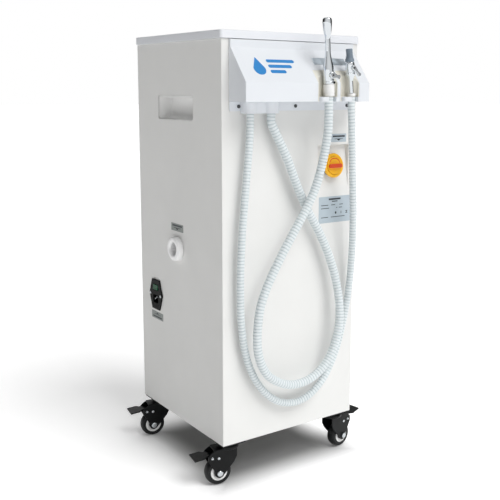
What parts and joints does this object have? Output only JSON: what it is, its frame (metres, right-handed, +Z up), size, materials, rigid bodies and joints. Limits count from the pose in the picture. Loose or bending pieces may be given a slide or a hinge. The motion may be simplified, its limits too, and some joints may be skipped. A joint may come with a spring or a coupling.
{
  "type": "mobile dental suction unit",
  "caption": "Upright white cabinet on braked swivel casters, with a front console that feeds and holds two corrugated suction hoses and their handpieces.",
  "frame": {"origin": "on the floor, under the middle of the outline with the hoses and cuffs left out", "axes": "+Z up, front and console towards -Y, mains inlet and exhaust outlet on the -X side"},
  "size_m": [0.4042, 0.3994, 0.8773],
  "materials": {
    "white_steel": "fine textured powder coat",
    "white_plastic": "moulded, satin gloss",
    "chrome": "polished",
    "steel": "zinc plated",
    "black_steel": "black powder coat",
    "black_plastic": "moulded, fine grain",
    "grey_plastic": "moulded, satin",
    "tyre_rubber": "moulded tread",
    "grey_rubber": "soft, satin",
    "hose_plastic": "ribbed flexible hose",
    "yellow_plastic": "moulded",
    "red_plastic": "moulded",
    "green_plastic": "translucent lens, satin",
    "grey_iron": "painted casting",
    "tank_plastic": "translucent blow moulded"
  },
  "bodies": {
    "cabinet": {"base_pan": "white_steel", "left_panel": "white_steel", "right_panel": "white_steel", "left_handle_cup": "white_plastic", "right_handle_cup": "white_plastic", "front_panel": "white_steel", "rear_panel": "white_steel", "top_cover": "white_plastic", "console_shell": "white_plastic", "hve_holder": "white_plastic", "se_holder": "white_plastic", "hose_manifold": "white_plastic", "hve_cuff": "white_plastic", "hve_handpiece": "chrome", "se_cuff": "white_plastic", "se_handpiece": "chrome", "se_tip": "grey_rubber", "hve_hose": "hose_plastic", "se_hose": "hose_plastic", "switch_collar": "grey_plastic", "switch_plate": "yellow_plastic", "exhaust_port": "white_plastic", "power_inlet": "black_plastic", "suction_blower": "grey_iron", "blower_cradle": "black_steel", "tank_shelf": "steel", "waste_tank": "tank_plastic", "tank_lid": "black_plastic", "control_box": "black_plastic", "feed_pipe": "grey_rubber", "exhaust_pipe": "grey_rubber", "caster_fl_plate": "black_steel", "caster_rl_plate": "black_steel", "caster_fr_plate": "black_steel", "caster_rr_plate": "black_steel"},
    "wide_lever": {"hve_valve": "chrome"},
    "narrow_lever": {"se_valve": "chrome"},
    "main_knob": {"switch_knob": "red_plastic"},
    "mains_rocker": {"rocker_switch": "green_plastic"},
    "fuse_carrier": {"fuse_drawer": "black_plastic"},
    "swivel_fl": {"caster_fl_fork": "black_steel", "caster_fl_axle": "steel"},
    "wheel_fl": {"caster_fl_tyre": "tyre_rubber", "caster_fl_rim": "white_plastic"},
    "brake_fl": {"caster_fl_pedal": "black_steel"},
    "swivel_rl": {"caster_rl_fork": "black_steel", "caster_rl_axle": "steel"},
    "wheel_rl": {"caster_rl_tyre": "tyre_rubber", "caster_rl_rim": "white_plastic"},
    "brake_rl": {"caster_rl_pedal": "black_steel"},
    "swivel_fr": {"caster_fr_fork": "black_steel", "caster_fr_axle": "steel"},
    "wheel_fr": {"caster_fr_tyre": "tyre_rubber", "caster_fr_rim": "white_plastic"},
    "brake_fr": {"caster_fr_pedal": "black_steel"},
    "swivel_rr": {"caster_rr_fork": "black_steel", "caster_rr_axle": "steel"},
    "wheel_rr": {"caster_rr_tyre": "tyre_rubber", "caster_rr_rim": "white_plastic"},
    "brake_rr": {"caster_rr_pedal": "black_steel"}
  },
  "joints": [
    {"name": "wide_lever_turn", "type": "hinge", "parent": "cabinet", "child": "wide_lever", "pos_m": [0.04183, -0.18527, 0.77478], "axis": [0, 1, 0], "range_deg": [-90, 0]},
    {"name": "narrow_lever_turn", "type": "hinge", "parent": "cabinet", "child": "narrow_lever", "pos_m": [0.09292, -0.18527, 0.78878], "axis": [0, 1, 0], "range_deg": [-90, 0]},
    {"name": "main_switch_turn", "type": "hinge", "parent": "cabinet", "child": "main_knob", "pos_m": [0.09731, -0.1261, 0.602], "axis": [0, -0.9932, 0.1168], "range_deg": [-90, 0]},
    {"name": "mains_rocker_tilt", "type": "hinge", "parent": "cabinet", "child": "mains_rocker", "pos_m": [-0.15299, 0.12973, 0.34], "axis": [0, 1, 0], "range_deg": [-16, 0]},
    {"name": "fuse_carrier_slide", "type": "slide", "parent": "cabinet", "child": "fuse_carrier", "axis": [-1, 0, 0], "range_m": [0, 0.014]},
    {"name": "caster_fl_swivel", "type": "hinge", "parent": "cabinet", "child": "swivel_fl", "pos_m": [-0.12669, -0.10428, 0.075], "axis": [0, 0, 1], "continuous": true},
    {"name": "caster_fl_roll", "type": "hinge", "parent": "swivel_fl", "child": "wheel_fl", "pos_m": [-0.14835, -0.10046, 0.0258], "axis": [0.1736, 0.9848, 0], "continuous": true},
    {"name": "caster_fl_brake", "type": "hinge", "parent": "swivel_fl", "child": "brake_fl", "pos_m": [-0.16312, -0.09785, 0.058], "axis": [0.1736, 0.9848, 0], "range_deg": [0, 20]},
    {"name": "caster_rl_swivel", "type": "hinge", "parent": "cabinet", "child": "swivel_rl", "pos_m": [-0.12669, 0.16972, 0.075], "axis": [0, 0, 1], "continuous": true},
    {"name": "caster_rl_roll", "type": "hinge", "parent": "swivel_rl", "child": "wheel_rl", "pos_m": [-0.14835, 0.17355, 0.0258], "axis": [0.1736, 0.9848, 0], "continuous": true},
    {"name": "caster_rl_brake", "type": "hinge", "parent": "swivel_rl", "child": "brake_rl", "pos_m": [-0.16312, 0.17615, 0.058], "axis": [0.1736, 0.9848, 0], "range_deg": [0, 20]},
    {"name": "caster_fr_swivel", "type": "hinge", "parent": "cabinet", "child": "swivel_fr", "pos_m": [0.12931, -0.10428, 0.075], "axis": [0, 0, 1], "continuous": true},
    {"name": "caster_fr_roll", "type": "hinge", "parent": "swivel_fr", "child": "wheel_fr", "pos_m": [0.15098, -0.10046, 0.0258], "axis": [0.1736, -0.9848, 0], "continuous": true},
    {"name": "caster_fr_brake", "type": "hinge", "parent": "swivel_fr", "child": "brake_fr", "pos_m": [0.16575, -0.09785, 0.058], "axis": [0.1736, -0.9848, 0], "range_deg": [-20, 0]},
    {"name": "caster_rr_swivel", "type": "hinge", "parent": "cabinet", "child": "swivel_rr", "pos_m": [0.12931, 0.16972, 0.075], "axis": [0, 0, 1], "continuous": true},
    {"name": "caster_rr_roll", "type": "hinge", "parent": "swivel_rr", "child": "wheel_rr", "pos_m": [0.15098, 0.17355, 0.0258], "axis": [0.1736, -0.9848, 0], "continuous": true},
    {"name": "caster_rr_brake", "type": "hinge", "parent": "swivel_rr", "child": "brake_rr", "pos_m": [0.16575, 0.17615, 0.058], "axis": [0.1736, -0.9848, 0], "range_deg": [-20, 0]}
  ]
}
